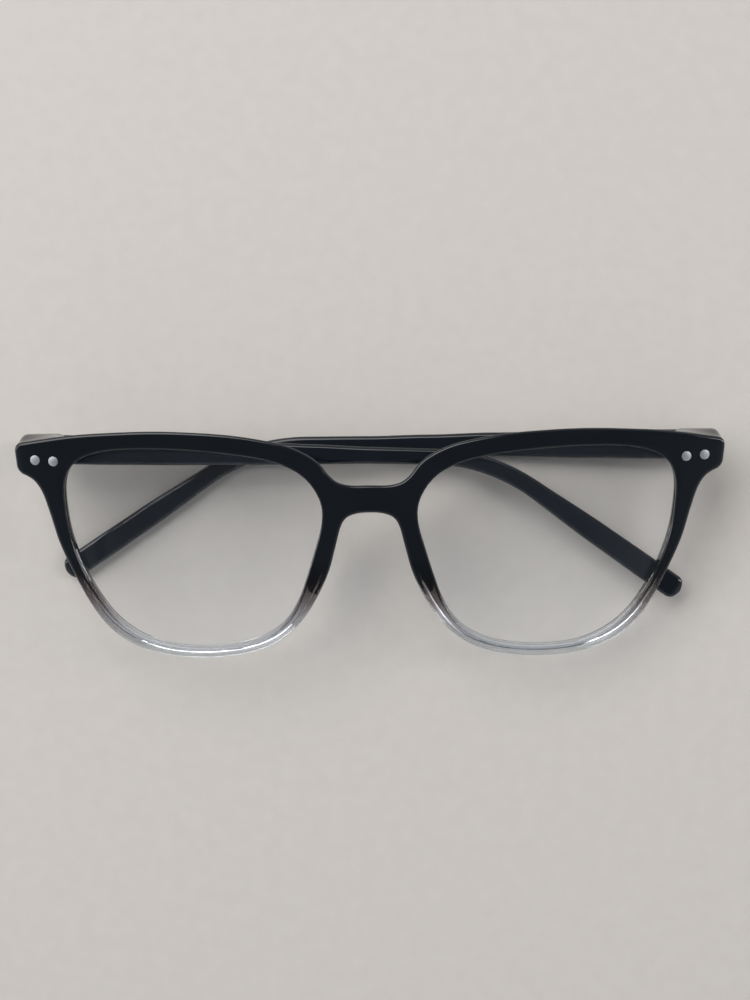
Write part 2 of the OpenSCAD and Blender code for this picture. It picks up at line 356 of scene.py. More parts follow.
# Opaque black gives way to clear dyed plastic between these heights
FULL_BLACK, NO_BLACK = -3.0, -9.0
# The most that the dye line wanders, from its lowest to its highest
DYE_DRIFT = 5.0


def height_up_front(graph):
    """How far up the front a point lies, in millimetres, from the object's own coordinates."""
    parts = graph.add("ShaderNodeSeparateXYZ", {}, {0: graph.add("ShaderNodeTexCoord")["Object"]})
    across, up, out = parts[0] * 1000.0, parts[1] * 1000.0, parts[2] * 1000.0
    level = out + across * math.sin(ROLL) - BRIDGE_Z
    return up * math.cos(FRONT_TILT) + level * math.sin(FRONT_TILT)


print("dye runs from", DYE[0][0], "to", DYE[-1][0], "mm up the front")

# %% [markdown]
# ## Wear
# Polished plastic is never quite even. Smudges and fine scratches change its roughness, a faint
# cloud changes its shade, and both come from noise in the object's own coordinates.

# %% Wear
def handled(graph, least):
    """Roughness of polished plastic: smudges and fine scratches over its least."""
    smudge = graph.noise(scale=150.0, detail=4.0, roughness=0.6)
    scratch = graph.noise(scale=1100.0, detail=2.0, stretch=(0.1, 1, 1))
    return least + 0.07 * smudge.power(2.0) + 0.04 * scratch.power(4.0)


def clouded(graph, deep, pale):
    """A slight cloud between two shades."""
    return graph.add("ShaderNodeValToRGB", {}, {0: graph.noise(scale=90.0)}, stops=[
        (0.3, deep), (0.7, pale)])[0]


def orange_peel(graph, depth):
    """The faint waviness of cast and polished plastic."""
    return graph.bump(graph.noise(scale=240.0, detail=2.0), depth)


# %% [markdown]
# ## Dyed and black plastic
# The dyed plastic mixes an opaque black with a tinted glass by height, because a tint alone would
# leave a line where the two slots of the front meet.

# %% Plastic materials
def dyed_plastic():
    graph = Graph(bpy.data.materials.new("dyed_plastic"))
    low, high = DYE[0][0], DYE[-1][0]
    drift = (graph.noise(scale=60.0, detail=2.0) - 0.5) * DYE_DRIFT
    along = ((height_up_front(graph) + drift - low) / (high - low)).clamped()
    tint = graph.add("ShaderNodeValToRGB", {}, {0: along}, stops=[
        ((height - low) / (high - low), colour) for height, colour in DYE])[0]
    rough = handled(graph, least=0.02)
    peel = orange_peel(graph, depth=0.00002)
    glassy = graph.add("ShaderNodeBsdfPrincipled", {}, {
        "Base Color": tint, "Roughness": rough, "IOR": PLASTIC_IOR, "Transmission Weight": 1.0,
        "Normal": peel})
    black = graph.add("ShaderNodeBsdfPrincipled", {}, {
        "Base Color": clouded(graph, BLACK_DYE, PALE_DYE), "Roughness": rough,
        "IOR": PLASTIC_IOR, "Normal": peel})
    share = ((FULL_BLACK - height_up_front(graph)) / (FULL_BLACK - NO_BLACK)).clamped()
    body = graph.add("ShaderNodeMixShader", {}, {0: share, 1: black[0], 2: glassy[0]})
    return graph.finish(graph.lamps_pass(body[0], (0.75, 0.77, 0.8, 1)))


def gloss_black(name, deep, pale, least_rough, peel_depth):
    """Opaque polished plastic, with a slight cloud in its colour and a faint orange peel."""
    graph = Graph(bpy.data.materials.new(name))
    return graph.finish(graph.add("ShaderNodeBsdfPrincipled", {}, {
        "Base Color": clouded(graph, deep, pale), "Roughness": handled(graph, least_rough),
        "IOR": PLASTIC_IOR, "Normal": orange_peel(graph, peel_depth)})[0])


DYED = dyed_plastic()
FRONT_BLACK = gloss_black("front_black", BLACK_DYE, PALE_DYE, least_rough=0.02,
                          peel_depth=0.00002)
TEMPLE_BLACK = gloss_black("temple_black", (0.003, 0.005, 0.008), (0.005, 0.0075, 0.0115),
                           least_rough=0.05, peel_depth=0.00001)
print("plastics:", DYED.name, FRONT_BLACK.name, TEMPLE_BLACK.name)


# %% [markdown]
# ## Lens glass
# A plano lens shows only as a faint reflection, with a trace of blue from its coating. It is thin
# clear glass that lamps shine straight through.

# %% Lens material
def coated_lens():
    graph = Graph(bpy.data.materials.new("coated_lens"))
    smudge = graph.noise(scale=60.0, roughness=0.6)
    tint = graph.add("ShaderNodeValToRGB", {}, {0: smudge}, stops=[
        (0.35, (0.985, 0.99, 0.995)), (0.7, (0.97, 0.98, 0.99))])[0]
    body = graph.add("ShaderNodeBsdfPrincipled", {}, {
        "Base Color": tint, "Roughness": 0.005 + 0.02 * smudge.power(3.0), "IOR": 1.4,
        "Transmission Weight": 1.0})
    return graph.finish(graph.lamps_pass(body[0], (0.98, 0.985, 0.99, 1)))


CLEAR = coated_lens()
print("lens:", CLEAR.name)

# %% [markdown]
# ## Metals
# The studs and hinges are nickel-plated and lightly brushed. One function makes all the finishes,
# with the brushing coarser on the hinges.

# %% Metal material
def plated_metal(name, colour, base_rough, grain):
    graph = Graph(bpy.data.materials.new(name))
    brushed = graph.noise(scale=grain, roughness=0.6, stretch=(1, 0.1, 1))
    shade = graph.add("ShaderNodeValToRGB", {}, {0: brushed}, stops=[
        (0.3, tuple(0.82 * c for c in colour)), (0.7, colour)])[0]
    return graph.finish(graph.add("ShaderNodeBsdfPrincipled", {}, {
        "Base Color": shade, "Metallic": 1.0, "Roughness": base_rough + 0.14 * brushed,
        "Normal": graph.bump(brushed, 0.000004)})[0])


HINGE_METAL = plated_metal("hinge_metal", (0.62, 0.61, 0.6), base_rough=0.28, grain=2500.0)
STUD_METAL = plated_metal("stud_metal", (0.6, 0.61, 0.62), base_rough=0.34, grain=4000.0)
WIRE_METAL = plated_metal("wire_metal", (0.6, 0.6, 0.62), base_rough=0.4, grain=3000.0)
print("metals:", HINGE_METAL.name, STUD_METAL.name, WIRE_METAL.name)

# %% [markdown]
# ## Outlines
# The front is symmetric, so only its left half is drawn. The outer edge runs from the middle of
# the bridge over the brow to the endpiece and back under the rim; the inner edge is the lens
# opening. A few points each and a smooth curve through them give both.

# %% Outline points
BROW = [(0, 11.2), (3.6, 11.2), (6.2, 11.8), (8, 13.2), (9.8, 15.5), (12, 17.2), (15.5, 18.9),
        (19.5, 20), (26, 21.1), (33, 21.7), (42, 22), (51, 21.7), (60, 21), (71, 19.3)]
RIM = [(70.5, 13.4), (68.7, 12.8), (67, 11.6), (65.6, 9.3), (64.3, 5.2), (62.7, -0.6),
       (60.3, -6.4), (57.2, -12.6), (53.6, -17.8), (48.6, -21.6), (42, -23.8), (34, -24.4),
       (26, -23.6), (20, -21.6), (15.7, -18.5), (12.4, -14.5), (10, -10.2), (8.2, -6),
       (6.9, -1.2), (5.9, 2.6), (4.7, 4.6), (2.6, 5.5), (0, 5.7)]
OPENING = [(9.5, 4.6), (9.7, 7.4), (10.9, 10.2), (13, 12.8), (15.9, 14.7), (20, 16.2),
           (26, 17.3), (35, 18.2), (44, 18.5), (51, 18.2), (56, 17.1), (59.3, 15),
           (60.9, 11.8), (61.1, 7.4), (60.2, 0.6), (57.9, -6.4), (54.9, -12), (51.4, -16.6),
           (47, -19.9), (41.4, -22), (34, -22.6), (26.4, -21.8), (20.9, -19.8), (17, -16.6),
           (14.5, -12.4), (12.7, -7.4), (11.1, -2.2), (10, 1.6)]
# Which place on the opening faces which on the outer edge: (opening, edge), each in steps
# along its own list; the edge counts through BROW, then RIM.
PAIRS = [(1.5, 0), (3, 4), (5, 7), (8, 10), (10, 12), (11.1, 13), (12, 14), (13, 17),
         (14, 19), (16, 21), (18, 23), (20, 25), (22, 27), (24, 29), (26, 32), (27.5, 34),
         (28.5, 36)]
print("outline points:", len(BROW), "+", len(RIM), "outside,", len(OPENING), "inside")

# %% [markdown]
# ## Smooth curves
# A Catmull-Rom curve goes through every one of its points, which makes an outline easy to draw
# and to mend. Walking it at even steps keeps the facets of the front alike.

# %% Curves through the points
def spline(a, b, c, d, t):
    return 0.5 * (2 * b + (c - a) * t + (2 * a - 5 * b + 4 * c - d) * t * t
                  + (3 * b - a - 3 * c + d) * t ** 3)


def curve_point(points, t, closed):
    """The point t steps along the smooth curve through points."""
    count = len(points)
    i = int(math.floor(t)) if closed else min(int(t), count - 2)
    if closed:
        chosen = [points[(i + k) % count] for k in (-1, 0, 1, 2)]
    else:
        chosen = [points[min(max(i + k, 0), count - 1)] for k in (-1, 0, 1, 2)]
    return spline(*[np.array(p, float) for p in chosen], t - i)


def mirrored(points, first):
    """The list with its mirror image on the far side of the middle of the bridge."""
    image = [(-x, y) for x, y in points if x > 0]
    return list(reversed(image)) + points if first else points + list(reversed(image))


print("a point a quarter of the way round the opening:", curve_point(OPENING, 7, True))

# %% [markdown]
# ## Outer edge
# The outer edge is two curves and a short straight end. They are walked as one, with a number that
# counts its points from the middle of the bridge.

# %% The outer edge
# Points used to measure a stretch of curve
FINE_STEPS = 200
BROW_WHOLE, BROW_START = mirrored(BROW, True), len(BROW) - 1
RIM_WHOLE = mirrored(RIM, False)


def edge_point(t):
    """A point on the outer edge, t steps from the middle of the bridge."""
    last = len(BROW) - 1
    if t <= last:
        return curve_point(BROW_WHOLE, BROW_START + t, False)
    if t < last + 1:
        return np.array(BROW[-1]) + (t - last) * (np.array(RIM[0]) - np.array(BROW[-1]))
    return curve_point(RIM_WHOLE, t - last - 1, False)


def evenly(point_at, start, end, steps):
    """steps points along a stretch of curve, evenly spaced, without its end."""
    fine = np.linspace(start, end, FINE_STEPS)
    path = np.array([point_at(t) for t in fine])
    run = np.concatenate([[0], np.cumsum(np.linalg.norm(np.diff(path, axis=0), axis=1))])
    wanted = np.linspace(0, run[-1], steps + 1)[:-1]
    return np.column_stack([np.interp(wanted, run, path[:, k]) for k in (0, 1)]), run[-1]


print("half the outer edge is", round(evenly(edge_point, 0, PAIRS[-1][1], 2)[1]), "mm long")

# %% [markdown]
# ## Stations round the rim
# The rim is a ring of cross-sections, like the slices of a tyre. Each slice starts on the opening
# and ends on the outer edge, or at the middle of the bridge, where the mirrored half takes over.

# %% Stations
STATION_GAP = 0.5
FEWEST_STEPS = 4
SEAM_STEPS = 10


def opening_point(t):
    return curve_point(OPENING, t, True)


def stations():
    """Facing points on the opening and on the outer edge, and how many lie off the bridge."""
    inner, outer = [], []
    for (a0, b0), (a1, b1) in zip(PAIRS[:-1], PAIRS[1:]):
        length = max(evenly(edge_point, b0, b1, 2)[1], evenly(opening_point, a0, a1, 2)[1])
        steps = max(FEWEST_STEPS, round(length / STATION_GAP))
        inner.append(evenly(opening_point, a0, a1, steps)[0])
        outer.append(evenly(edge_point, b0, b1, steps)[0])
    inner.append(np.array([opening_point(PAIRS[-1][0])]))
    outer.append(np.array([RIM[-1]], float))
    free = sum(len(p) for p in inner)
    first, last = PAIRS[0][0] + len(OPENING), PAIRS[-1][0]
    seam_in = evenly(opening_point, last, first, SEAM_STEPS)[0][1:]
    drop = np.linspace(RIM[-1][1], BROW[0][1], SEAM_STEPS + 1)[1:-1]
    inner.append(seam_in)
    outer.append(np.column_stack([np.zeros(SEAM_STEPS - 1), drop]))
    return np.vstack(inner), np.vstack(outer), free


INNER, OUTER, FREE = stations()
print("stations round half the front:", len(INNER), "of which on the bridge:", len(INNER) - FREE)

# %% [markdown]
# ## Corners and directions
# The two corners of the endpiece are rounded by letting each point near them drift towards the
# middle of its neighbours. Then each station gets its directions into the plastic.

# %% Corners and directions
CORNER_REACH = 1.6
CORNER_PASSES = 12


def soften(points, near):
    """Rounds the corners near the given places."""
    points = points.copy()
    weight = np.zeros(len(points))
    for corner in near:
        gap = np.linalg.norm(points - np.array(corner), axis=1)
        weight = np.maximum(weight, np.clip(1 - gap / CORNER_REACH, 0, 1))
    weight[0] = weight[-1] = 0
    for _ in range(CORNER_PASSES):
        middle = (np.roll(points, 1, axis=0) + np.roll(points, -1, axis=0)) / 2
        points += (middle - points) * weight[:, None] * 0.5
    return points


def normals(points, closed):
    """Unit normals to the right of the direction of travel."""
    if closed:
        along = np.roll(points, -1, axis=0) - np.roll(points, 1, axis=0)
    else:
        along = np.gradient(points, axis=0)
    along /= np.linalg.norm(along, axis=1)[:, None]
    return np.column_stack([along[:, 1], -along[:, 0]])


OUTER[:FREE] = soften(OUTER[:FREE], [BROW[-1], RIM[0]])
# Both loops run clockwise, so the right-hand side is inwards: into the lens from the opening,
# and into the plastic from the outer edge.
INTO_RIM = -normals(INNER, True)
INTO_EDGE = normals(OUTER[:FREE], False)
INTO_EDGE[0], INTO_EDGE[-1] = (0, -1), (0, 1)
print("widest station:", round(OUTER[:, 0].max(), 2), "mm from the middle")

# %% [markdown]
# ## Heights
# The front is wrapped round a large upright cylinder, so a depth below its face is a smaller
# radius. At the endpiece the back sweeps down to the flat butt that meets the temple.

# %% Depth functions
def face_z(x, depth=0.0):
    return math.sqrt((WRAP_R - depth) ** 2 - x * x) - WRAP_R


def smooth_step(low, high, x):
    t = min(max((x - low) / (high - low), 0), 1)
    return t * t * (3 - 2 * t)


print("the face falls", round(-face_z(HALF_W), 2), "mm from the bridge to the endpiece")

# %% [markdown]
# ## Endpiece block
# Behind each endpiece the plastic is a block, as high as the temple and cut off square for it to
# butt against. The back sweeps down to that plane, and the block's top and bottom draw together.

# %% Endpiece shape
SWEEP = (60.3, 63.4)
SHOULDER = (11.4, 13.4)
BUTT_BELOW, BUTT_ABOVE = 3.05, 3.05
# Shares of the depth between which the block draws together
DRAW_FROM, DRAW_TO = 0.1, 0.95


def up_at_butt(row_y):
    """Height up the front of a place on the butt plane."""
    return row_y * math.cos(FRONT_TILT) + (BUTT_Z - BRIDGE_Z) * math.sin(FRONT_TILT)


BUTT_LOW, BUTT_HIGH = up_at_butt(HINGE_Y - BUTT_BELOW), up_at_butt(HINGE_Y + BUTT_ABOVE)


def endpiece_share(x, y):
    """0 on the rim, 1 on the block behind the endpiece."""
    return smooth_step(*SWEEP, abs(x)) * smooth_step(*SHOULDER, y)


def butt_z(y):
    return (BUTT_Z + SHOW - BRIDGE_Z - y * math.sin(FRONT_TILT)) / math.cos(FRONT_TILT)


def back_z(x, y):
    share = endpiece_share(x, y)
    return (1 - share) * face_z(x, FRONT_T) + share * butt_z(y)


def squared_up(x, y, share_of_depth):
    """y moved towards the temple's own height as the endpiece goes back."""
    brow = np.interp(abs(x), [p[0] for p in BROW], [p[1] for p in BROW])
    low = RIM[0][1]
    part = (y - low) / (brow - low)
    goal = BUTT_LOW + part * (BUTT_HIGH - BUTT_LOW)
    return y + endpiece_share(x, y) * smooth_step(DRAW_FROM, DRAW_TO, share_of_depth) * (goal - y)


print("butt plane from", round(BUTT_LOW, 2), "to", round(BUTT_HIGH, 2), "mm up the front")

# %% [markdown]
# ## Lens surfaces
# Both faces of a plano lens are parts of spheres about one middle point, so one formula with two
# radii gives the two faces, and with a little more or less the groove that holds them.

# %% Lens height
LENS_AXIS = math.asin(LENS_CENTRE[0] / WRAP_R)
LENS_MIDDLE = (LENS_CENTRE[0] * (WRAP_R - LENS_R) / WRAP_R, LENS_CENTRE[1],
               (WRAP_R - LENS_R) * math.cos(LENS_AXIS) - WRAP_R)


def lens_z(x, y, radius):
    """Height of a lens surface of that radius."""
    away = (x - LENS_MIDDLE[0]) ** 2 + (y - LENS_MIDDLE[1]) ** 2
    return LENS_MIDDLE[2] + math.sqrt(radius * radius - away)


print("lens centre lies", round(-lens_z(*LENS_CENTRE, LENS_R), 2), "mm behind the bridge's face")

# %% [markdown]
# ## The front
# Each cross-section goes once round the rim: up the opening's wall, over a small round edge,
# across the face, over a larger round edge, down the outside, across the back, and into the groove
# that holds the lens.

# %% Edges of the cross-section
EDGE_IN, EDGE_OUT, EDGE_BACK = 0.4, 0.6, 0.45
# The outer wall leans in towards the back, as a mould needs: a share of the rim's width
DRAFT_SHARE, MOST_DRAFT = 0.3, 0.9
ARC_STEPS = 5
FACE_STEPS = 8
WALL_STEPS = 6
SEAT_GAP = 0.05
# How far back through the plastic the groove's two sides and the front edge count as lying
SEAT_FRONT, SEAT_BACK = 0.3, 0.7
FRONT_EDGE = 0.05


def arc(radius, rising):
    """Pairs of inset and depth round an edge of that radius."""
    angles = [math.pi / 2 * k / ARC_STEPS for k in range(ARC_STEPS + 1)]
    pairs = [(radius * (1 - math.cos(a)), radius * (1 - math.sin(a))) for a in angles]
    return pairs if rising else list(reversed(pairs))


print("points round one edge:", len(arc(EDGE_OUT, True)))

# %% [markdown]
# ## Points of a cross-section
# A point is known by its place on the flat drawing and by how it lies in depth: a distance behind
# the face, a distance in front of the back, or a share of the way down the outer wall.

# %% Points of a cross-section
def at_height(flat, share, z):
    """A point of that height, where share says how far back through the plastic it lies."""
    return flat[0], squared_up(*flat, share), z


def below_face(flat, share, depth):
    """A point that far behind the face."""
    return at_height(flat, share, face_z(flat[0], depth))


def above_back(flat, rise):
    """A point that far in front of the back."""
    x, y = flat[0], squared_up(*flat, 1.0)
    return x, y, back_z(x, y) + rise


def on_wall(flat, share):
    """A point of the outer wall, that share of the way from its front edge to its back one."""
    x, y = flat[0], squared_up(*flat, share)
    near, far = face_z(x, EDGE_OUT), back_z(x, y) + EDGE_BACK
    return x, y, (1 - share) * near + share * far


print("the front is", round(face_z(0) - above_back((0, 8), 0)[2], 2), "mm thick at the bridge")

# %% [markdown]
# ## Outer wall
# Down the outside the wall goes over a round edge, leans in, and goes round a second edge to the
# back. At the middle of the bridge there is no outside, because the mirrored half carries on.

# %% Outer wall
def seam_point(i, inset):
    """A point of the middle of the bridge, whose ends lie that far inside its edges."""
    low, high = RIM[-1][1] + inset, BROW[0][1] - inset
    return np.array([0, low + (high - low) * (i - FREE + 1) / SEAM_STEPS])


def outer_wall(i, draft):
    """The points down the outside, from the end of the face to the start of the back."""
    edge, into = OUTER[i], INTO_EDGE[i]
    wall = [below_face(edge + into * inset, FRONT_EDGE, depth)
            for inset, depth in arc(EDGE_OUT, False)[1:]]
    wall += [on_wall(edge + into * draft * k / WALL_STEPS, k / WALL_STEPS)
             for k in range(1, WALL_STEPS)]
    wall += [above_back(edge + into * (draft + inset), rise)
             for inset, rise in arc(EDGE_BACK, True)[:-1]]
    return wall


print("points down the outer wall:", len(outer_wall(0, 0.0)))

# %% [markdown]
# ## One cross-section
# A whole section comes in three parts: groove and face, outer wall, and back. Where there is no
# outer wall its place stays empty, and the other two parts still match their neighbours.

# %% One cross-section
def section(i):
    """The points of one cross-section: groove and face, outer wall, back."""
    start, inward = INNER[i], INTO_RIM[i]
    if i < FREE:
        width = np.linalg.norm(OUTER[i] - start)
        draft = min(DRAFT_SHARE * width, MOST_DRAFT) * (1 - endpiece_share(*OUTER[i]))
        front_end = OUTER[i] + INTO_EDGE[i] * EDGE_OUT
        back_end = OUTER[i] + INTO_EDGE[i] * (draft + EDGE_BACK)
        wall = outer_wall(i, draft)
    else:
        front_end, back_end = seam_point(i, EDGE_OUT), seam_point(i, MOST_DRAFT + EDGE_BACK)
        wall = []
    front_radius, back_radius = LENS_R + SEAT_GAP, LENS_R - LENS_T - SEAT_GAP
    inner_end = start + inward * EDGE_IN
    face = [at_height(start, SEAT_FRONT, lens_z(*start, front_radius))]
    face += [below_face(start + inward * inset, 0.0, depth) for inset, depth in arc(EDGE_IN, True)]
    face += [below_face(inner_end + (front_end - inner_end) * k / FACE_STEPS, 0.0, 0.0)
             for k in range(1, FACE_STEPS)]
    face.append(below_face(front_end, 0.0, 0.0))
    back = [above_back(back_end + (inner_end - back_end) * k / FACE_STEPS, 0.0)
            for k in range(FACE_STEPS + 1)]
    back += [above_back(start + inward * inset, rise) for inset, rise in arc(EDGE_IN, False)[1:]]
    back.append(at_height(start, SEAT_BACK, lens_z(*start, back_radius)))
    lip = start + inward * (LENS_LIP + SEAT_GAP)
    back.append(at_height(lip, SEAT_BACK, lens_z(*lip, back_radius)))
    back.append(at_height(lip, SEAT_FRONT, lens_z(*lip, front_radius)))
    return face, wall, back


print("points in a cross-section:", sum(len(part) for part in section(0)))

# %% [markdown]
# ## Front shell
# Neighbouring cross-sections are joined by four-sided faces, and the half is mirrored. The shell
# has two slots, black above and dyed below, chosen for each face by its height.

# %% Front shell
def front_mesh():
    """Points and faces of the left half, then its mirror image."""
    points, index = [], []
    for i in range(len(INNER)):
        face, wall, back = section(i)
        numbers = list(range(len(points), len(points) + len(face + wall + back)))
        points += face + wall + back
        if i == 0:
            wall_size = len(wall)
        if not wall:
            numbers[len(face):len(face)] = [None] * wall_size
        index.append(numbers)
    full = len(index[0])
    faces = []
    for a, b in zip(index, index[1:] + index[:1]):
        quads = [[a[k], a[(k + 1) % full], b[(k + 1) % full], b[k]] for k in range(full)]
        faces += [quad for quad in quads if None not in quad]
    half = len(points)
    points += [(-x, y, z) for x, y, z in points]
    faces += [[n + half for n in reversed(face)] for face in faces]
    return points, faces


front_shell = solid("front_shell", *front_mesh(), ON_FRONT)
tidy_mesh(front_shell)
front_shell.data.materials.append(FRONT_BLACK)
front_shell.data.materials.append(DYED)
to_front = ON_FRONT.inverted()
for poly in front_shell.data.polygons:
    poly.material_index = int((to_front @ poly.center).y < ALL_BLACK)
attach(front_shell, "front")
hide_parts("front_frame")

# %% [markdown]
# ## Lenses
# A lens is cut to the opening's outline, grown by the depth of the groove, and lies between two
# spheres about one point. Rings of points from the middle outwards keep its surface smooth, and
# the rim has a small bevel on both sides.

# %% Lens discs
LENS_RINGS = 14
LENS_BEVEL = 0.15


def lens_side(radius, rim_step):
    """Rings of flat points of one side from the middle outwards, each with its radius and step."""
    middle = np.array(LENS_CENTRE)
    rim = INNER + INTO_RIM * LENS_LIP
    rings = [middle + (rim - middle) * k / LENS_RINGS for k in range(1, LENS_RINGS)]
    rings.append(rim - INTO_RIM * LENS_BEVEL)
    return [(ring, radius, 0.0) for ring in rings] + [(rim, radius, rim_step)]


def lens_mesh():
    """Points and faces of the left lens, from the middle of its front round to its back."""
    back_radius = LENS_R - LENS_T
    rings = lens_side(LENS_R, -LENS_BEVEL) + lens_side(back_radius, LENS_BEVEL)[::-1]
    points = [(*LENS_CENTRE, lens_z(*LENS_CENTRE, LENS_R))]
    for ring, radius, step in rings:
        points += [(x, y, lens_z(x, y, radius) + step) for x, y in ring]
    points.append((*LENS_CENTRE, lens_z(*LENS_CENTRE, back_radius)))
    count, last = len(INNER), len(points) - 1
    faces = [[0, 1 + i, 1 + (i + 1) % count] for i in range(count)]
    for a in range(1, last - count, count):
        b = a + count
        faces += [[a + i, b + i, b + (i + 1) % count, a + (i + 1) % count] for i in range(count)]
    rim_start = last - count
    faces += [[rim_start + i, last, rim_start + (i + 1) % count] for i in range(count)]
    return points, faces


LENS_POINTS, LENS_FACES = lens_mesh()
for side in (RIGHT, LEFT):
    name = SIDE_NAME[side]
    flat = [(side * x, y, z) for x, y, z in LENS_POINTS]
    disc = solid(f"{name}_lens_disc", flat, LENS_FACES, ON_FRONT)
    tidy_mesh(disc)
    disc.data.materials.append(CLEAR)
    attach(disc, "front")
    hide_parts(f"{name}_lens")

# %% [markdown]
# ## Temples
# A temple is a bar swept along its middle line: straight, then round the ear bend, then straight
# to the tip. Its height is looked up along the way, its edges are rounded, and it closes over a
# round tip.

# %% Temple rule
TEMPLE_LEN = 140.0
EAR_BEND = math.radians(34)
EAR_R = 37.0
BEND_START = 79.0
TAPER = (9.0, 60.0)
TIP_ROUND = 2.2
HEIGHTS = [(-2.5, 6), (8, 6), (20, 5.7), (40, 4.9), (54, 4.1), (66, 3.5), (82, 3.3), (98, 3.6),
           (118, 4.7), (128, 4.9), (150, 4.8)]
TIP_S = TEMPLE_LEN - OVERHANG
BEND_LEN = EAR_R * EAR_BEND
EDGE_ROUND = 0.85
# The rounding takes at most these shares of the half height and of the thickness
MOST_OF_HALF, MOST_OF_THICKNESS = 0.9, 0.45
LEAST_HALF = 0.05
# The tip is squarer than a circle from the side, and thins a little
TIP_POWER, TIP_THINNING = 2.6, 0.9
# The hinge leaf lies bare up to here, and farther along it is buried in the plastic
LEAF_SHOWN = 4.0
SECTION_STEPS = 6
# How far along from the butt end, and how far in, the rings of its rounded edge lie
BUTT_ROUND = [(0, 0.35), (0.03, 0.22), (0.12, 0.08), (0.35, 0)]
RING_GAP = 1.5
CURVE_RINGS = 24
TIP_DEGREES = 6


def bend_at(s):
    return min(max(s - BEND_START, 0), BEND_LEN) / EAR_R


def middle_line(s):
    a = bend_at(s)
    rest = max(s - BEND_START - BEND_LEN, 0)
    return (min(s, BEND_START) + EAR_R * math.sin(a) + rest * math.cos(a),
            -EAR_R * (1 - math.cos(a)) - rest * math.sin(a))


def half_height(s):
    k = max(i for i in range(len(HEIGHTS) - 1) if HEIGHTS[i][0] <= s)
    (s0, h0), (s1, h1) = HEIGHTS[k], HEIGHTS[k + 1]
    tip = max(s - TIP_S + TIP_ROUND, 0) / TIP_ROUND
    height = h0 + (h1 - h0) * smooth_step(s0, s1, s)
    return height / 2 * math.sqrt(max(1 - tip ** TIP_POWER, 0))


print("bend:", round(BEND_LEN, 1), "mm long, tip ends", round(TIP_S, 1), "mm past the hinge")

# %% [markdown]
# ## Temple rings
# Each ring is a rounded rectangle set square to the middle line. The bar gets thinner towards its
# waist. Its inner side leaves the hinge leaf bare at first, and farther along it just covers it.

# %% One temple ring
def temple_ring(s, inset):
    """One rounded cross-section of the temple."""
    x, y = middle_line(s)
    a = bend_at(s)
    tip = max(s - TIP_S + TIP_ROUND, 0) / TIP_ROUND
    pinch = inset + TIP_THINNING * (1 - math.sqrt(max(1 - tip * tip, 0)))
    thin = TEMPLE_T + (WAIST_T - TEMPLE_T) * min(max((s - TAPER[0]) / (TAPER[1] - TAPER[0]), 0), 1)
    uncovered = SHOW if s < LEAF_SHOWN else -SHOW
    low, high = OUTER_FACE - thin + uncovered + pinch, OUTER_FACE - pinch
    half = max(half_height(s) - inset, LEAST_HALF)
    radius = min(EDGE_ROUND, half * MOST_OF_HALF, (high - low) * MOST_OF_THICKNESS)
    ring = []
    for across, out, start in ((1, 1, 0), (-1, 1, 1), (-1, -1, 2), (1, -1, 3)):
        for k in range(SECTION_STEPS + 1):
            angle = math.pi / 2 * (start + k / SECTION_STEPS)
            v = across * (half - radius) + radius * math.cos(angle)
            z = (high if out > 0 else low) - out * radius + radius * math.sin(angle)
            ring.append((x + v * math.sin(a), y + v * math.cos(a), z))
    return ring


print("points in a ring:", len(temple_ring(0.0, 0.0)))

# %% [markdown]
# ## Temple bars
# The rings are close together where the bar ends and farther apart where it is straight. Both
# temples share one shape, and their places on the hinges make the difference.

# %% Temple bars
def temple_mesh():
    """Points and faces of one temple, ring by ring from the butt end to the tip."""
    bend_end, straight_end = BEND_START + BEND_LEN, TIP_S - TIP_ROUND
    places = [(-OVERHANG + along, inset) for along, inset in BUTT_ROUND]
    places += [(s, 0) for s in np.arange(-RING_GAP, BEND_START, RING_GAP)]
    places += [(s, 0) for s in np.linspace(BEND_START, bend_end, CURVE_RINGS)[:-1]]
    places += [(s, 0) for s in np.linspace(bend_end, straight_end, CURVE_RINGS)[:-1]]
    places += [(straight_end + TIP_ROUND * math.sin(math.radians(a)), 0)
               for a in range(0, 90, TIP_DEGREES)]
    rings = [temple_ring(s, inset) for s, inset in places]
    count = len(rings[0])
    points = [p for ring in rings for p in ring]
    faces = [list(reversed(range(count)))]
    for r in range(len(rings) - 1):
        a, b = r * count, (r + 1) * count
        faces += [[a + k, a + (k + 1) % count, b + (k + 1) % count, b + k] for k in range(count)]
    faces.append([len(points) - count + k for k in range(count)])
    return points, faces


for side in (RIGHT, LEFT):
    name = SIDE_NAME[side]
    arm = solid(f"{name}_temple_bar", *temple_mesh(), on_temple(side))
    tidy_mesh(arm)
    arm.data.materials.append(TEMPLE_BLACK)
    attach(arm, f"{name}_temple")
    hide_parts(f"{name}_temple")

# %% [markdown]
# ## Nose pads
# Behind each rim a small pad of the same plastic rests on the nose. It is an egg drawn out towards
# the wearer, so each point of an egg moves with whichever end it faces.

# %% Nose pads
PAD_SINK, PAD_REACH = 0.5, 4.6
PAD_FOOT = Vector((10.4, -6.4, PAD_SINK - FRONT_T))
PAD_R = Vector((1.5, 5.2, 1.6))
PAD_SLANT = Matrix.Rotation(math.radians(19), 3, "Z")
PAD_CROWN = Vector((10.7, -6.8, PAD_R.z - FRONT_T - PAD_REACH))
# Points whose normals lean less than this to either end are blended between the two
PAD_BLEND = 0.35


